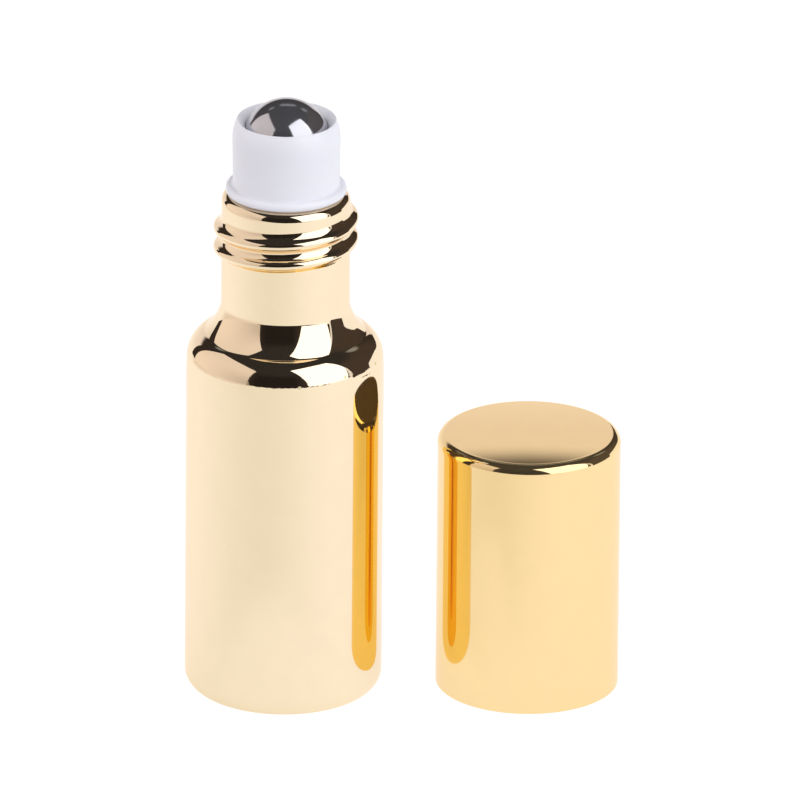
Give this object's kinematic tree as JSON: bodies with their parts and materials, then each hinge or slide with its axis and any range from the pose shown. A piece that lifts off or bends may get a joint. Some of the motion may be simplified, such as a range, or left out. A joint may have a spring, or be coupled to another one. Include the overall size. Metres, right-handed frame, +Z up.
{
  "type": "roll-on bottle",
  "caption": "Small gold-coated glass roll-on bottle with a threaded neck, a snap-in plastic roller holding a steel ball, and a lined metal screw cap standing beside it.",
  "frame": {"origin": "centre of the bottle's foot, on the plane that it stands on", "axes": "+Z up along the bottle's axis; the cap stands towards +X; -Y faces the viewer of the picture"},
  "size_m": [0.044, 0.0206, 0.0634],
  "materials": {
    "gilded_glass": "glass with a vacuum-deposited pale gold mirror coat on its outside",
    "white_plastic": "smooth white polyethylene, slightly translucent",
    "polished_steel": "mirror-polished stainless steel",
    "gold_metal": "bright gold anodised aluminium",
    "liner_plastic": "white polypropylene"
  },
  "bodies": {
    "bottle": {"glass_bottle": "gilded_glass"},
    "fitment": {"roller_housing": "white_plastic"},
    "ball": {"roller_ball": "polished_steel"},
    "cap": {"cap_shell": "gold_metal", "cap_liner": "liner_plastic"}
  },
  "joints": [
    {"name": "roller_pull", "type": "slide", "parent": "bottle", "child": "fitment", "axis": [0, 0, 1], "range_m": [0, 0.012]},
    {"name": "ball_roll", "type": "hinge", "parent": "fitment", "child": "ball", "pos_m": [0, 0, 0.05887], "axis": [1, 0, 0], "continuous": true},
    {"name": "cap_lift", "type": "slide", "parent": "bottle", "child": "cap", "axis": [0, 0, 1], "range_m": [0, 0.066]}
  ]
}
